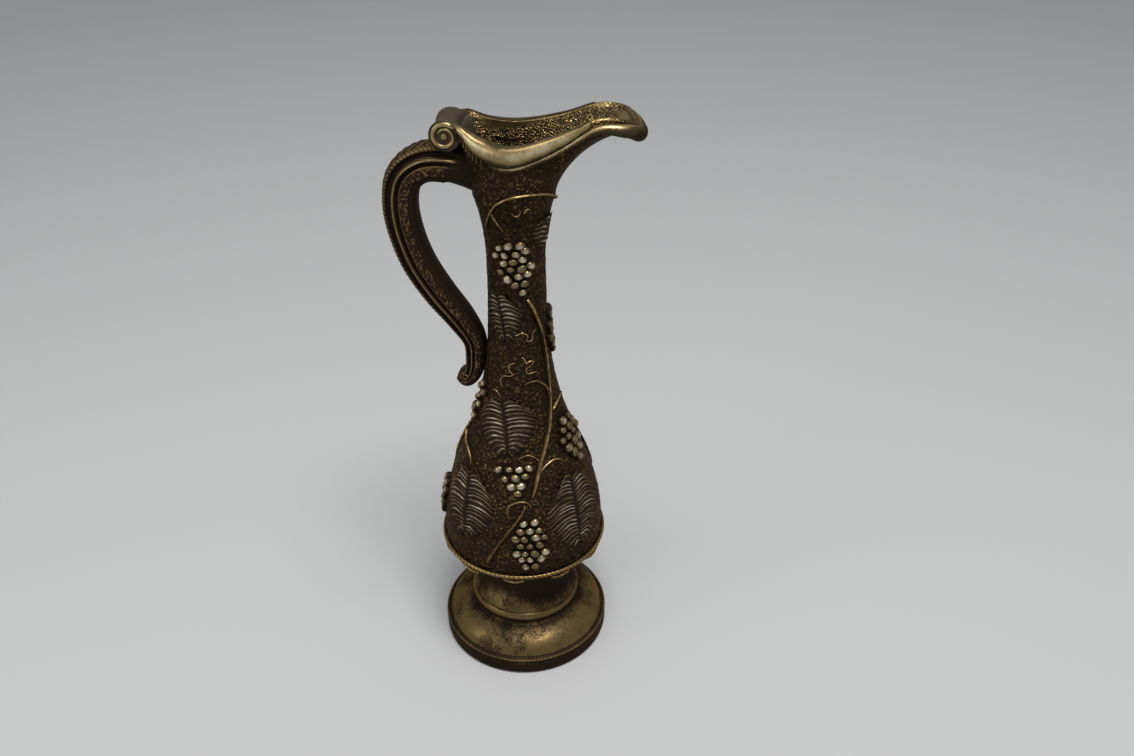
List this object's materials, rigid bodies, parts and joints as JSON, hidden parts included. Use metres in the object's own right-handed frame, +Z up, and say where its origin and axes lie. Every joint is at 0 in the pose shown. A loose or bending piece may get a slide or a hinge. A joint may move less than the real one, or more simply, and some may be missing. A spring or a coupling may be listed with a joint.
{
  "type": "decorative pitcher",
  "caption": "Tall floor-standing pitcher on a turned foot, with a slim neck, long pouring lip, scrolled handle and a raised grapevine.",
  "frame": {"origin": "centre of the foot's underside, on the floor", "axes": "+Z up along the turned body, +X towards the pouring spout, -X towards the handle"},
  "size_m": [0.3222, 0.248, 0.82],
  "materials": {
    "felt": "dark felt",
    "dark_patina": "black-brown patina over antique gold paint on a stippled casting, satin",
    "antique_gold": "antique gold paint, rubbed bright on the raised edges, dark in the hollows",
    "silvered_grape": "silver-grey dry brush over dark patina, satin",
    "aged_leaf": "dark patina with silver-grey dry brush on the ribs"
  },
  "bodies": {
    "root": {"base_felt": "felt", "foot": "antique_gold", "bowl": "dark_patina", "belly": "dark_patina", "neck": "dark_patina", "mouth": "dark_patina", "girdle_ring": "antique_gold", "scroll_roll": "antique_gold", "lip_bead": "antique_gold", "lip_roll_front": "antique_gold", "lip_roll_back": "antique_gold", "lip_tabs_front": "antique_gold", "lip_tabs_back": "antique_gold", "volute_front": "antique_gold", "volute_back": "antique_gold", "handle": "antique_gold", "handle_leaf": "antique_gold", "bunch_neck_front": "silvered_grape", "bunch_neck_back": "silvered_grape", "bunch_spout_side_front": "silvered_grape", "bunch_handle_side_front": "silvered_grape", "bunch_right_front": "silvered_grape", "bunch_centre_front": "silvered_grape", "bunch_low_front": "silvered_grape", "bunch_low_back": "silvered_grape", "bunch_left_front": "silvered_grape", "leaf_neck_front": "aged_leaf", "leaf_neck_back": "aged_leaf", "leaf_spout_side_front": "aged_leaf", "leaf_middle_front": "aged_leaf", "leaf_middle_back": "aged_leaf", "leaf_left_front": "aged_leaf", "leaf_left_back": "aged_leaf", "leaf_right_front": "aged_leaf", "leaf_right_back": "aged_leaf", "vine_main_front": "antique_gold", "vine_main_back": "antique_gold", "vine_low_front": "antique_gold", "vine_low_back": "antique_gold", "vine_left_front": "antique_gold", "vine_arch_front": "antique_gold", "vine_right_front": "antique_gold", "tendril_ring_front": "antique_gold"}
  },
  "joints": []
}
